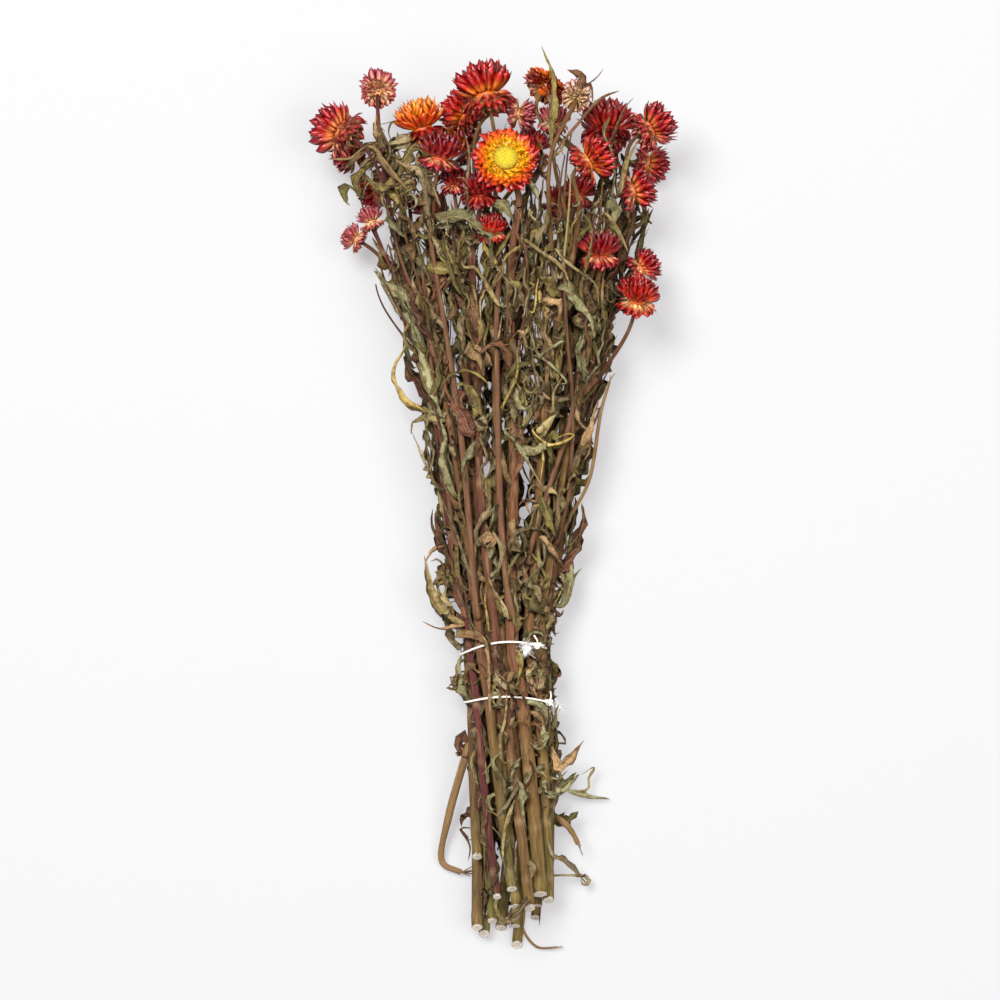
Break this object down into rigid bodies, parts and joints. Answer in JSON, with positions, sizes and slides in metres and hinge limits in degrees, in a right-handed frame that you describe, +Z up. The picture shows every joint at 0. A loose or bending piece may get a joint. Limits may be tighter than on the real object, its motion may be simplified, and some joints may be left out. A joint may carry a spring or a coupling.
{
  "type": "dried strawflower bunch",
  "caption": "Tied bunch of dried strawflowers lying flat: leafy brown stems held by loops of white string, with red, orange and pink papery flower heads.",
  "frame": {"origin": "middle of the bunch's outline, on the surface that it lies on", "axes": "+Y along the stems towards the flower heads, +Z up from the surface, +X to the right with the heads away"},
  "size_m": [0.2013, 0.4973, 0.0958],
  "materials": {
    "stem_and_leaf": "dry matt stem and shrivelled leaf, brown to olive",
    "bract_red": "papery, satin",
    "bract_crimson": "papery, satin",
    "bract_orange": "papery, satin",
    "bract_pink": "papery, satin",
    "flower_disc": "matt, made of tiny florets",
    "string": "twisted cotton, matt"
  },
  "bodies": {
    "root": {"flower_disc_09": "flower_disc", "flower_disc_12": "flower_disc", "flower_head_01": "bract_pink", "flower_head_02": "bract_crimson", "flower_head_03": "bract_crimson", "flower_head_04": "bract_orange", "flower_head_05": "bract_crimson", "flower_head_06": "bract_red", "flower_head_07": "bract_red", "flower_head_08": "bract_orange", "flower_head_09": "bract_orange", "flower_head_10": "bract_orange", "flower_head_11": "bract_pink", "flower_head_12": "bract_crimson", "flower_head_13": "bract_pink", "flower_head_14": "bract_pink", "flower_head_15": "bract_red", "flower_head_16": "bract_crimson", "flower_head_17": "bract_red", "flower_head_18": "bract_red", "flower_head_19": "bract_red", "flower_head_20": "bract_crimson", "flower_head_21": "bract_red", "flower_head_22": "bract_orange", "flower_head_23": "bract_pink", "flower_head_24": "bract_crimson", "flower_head_25": "bract_red", "flower_head_26": "bract_pink", "flower_head_27": "bract_pink", "flower_head_28": "bract_crimson", "flower_head_29": "bract_red", "flower_head_30": "bract_red", "flower_head_31": "bract_red", "flower_head_32": "bract_red", "leafy_stem_01": "stem_and_leaf", "leafy_stem_02": "stem_and_leaf", "leafy_stem_03": "stem_and_leaf", "leafy_stem_04": "stem_and_leaf", "leafy_stem_05": "stem_and_leaf", "leafy_stem_06": "stem_and_leaf", "leafy_stem_07": "stem_and_leaf", "leafy_stem_08": "stem_and_leaf", "leafy_stem_09": "stem_and_leaf", "leafy_stem_10": "stem_and_leaf", "leafy_stem_11": "stem_and_leaf", "leafy_stem_12": "stem_and_leaf", "leafy_stem_13": "stem_and_leaf", "leafy_stem_14": "stem_and_leaf", "leafy_stem_15": "stem_and_leaf", "leafy_stem_16": "stem_and_leaf", "leafy_stem_17": "stem_and_leaf", "leafy_stem_18": "stem_and_leaf", "lower_string": "string", "upper_string": "string"}
  },
  "joints": []
}
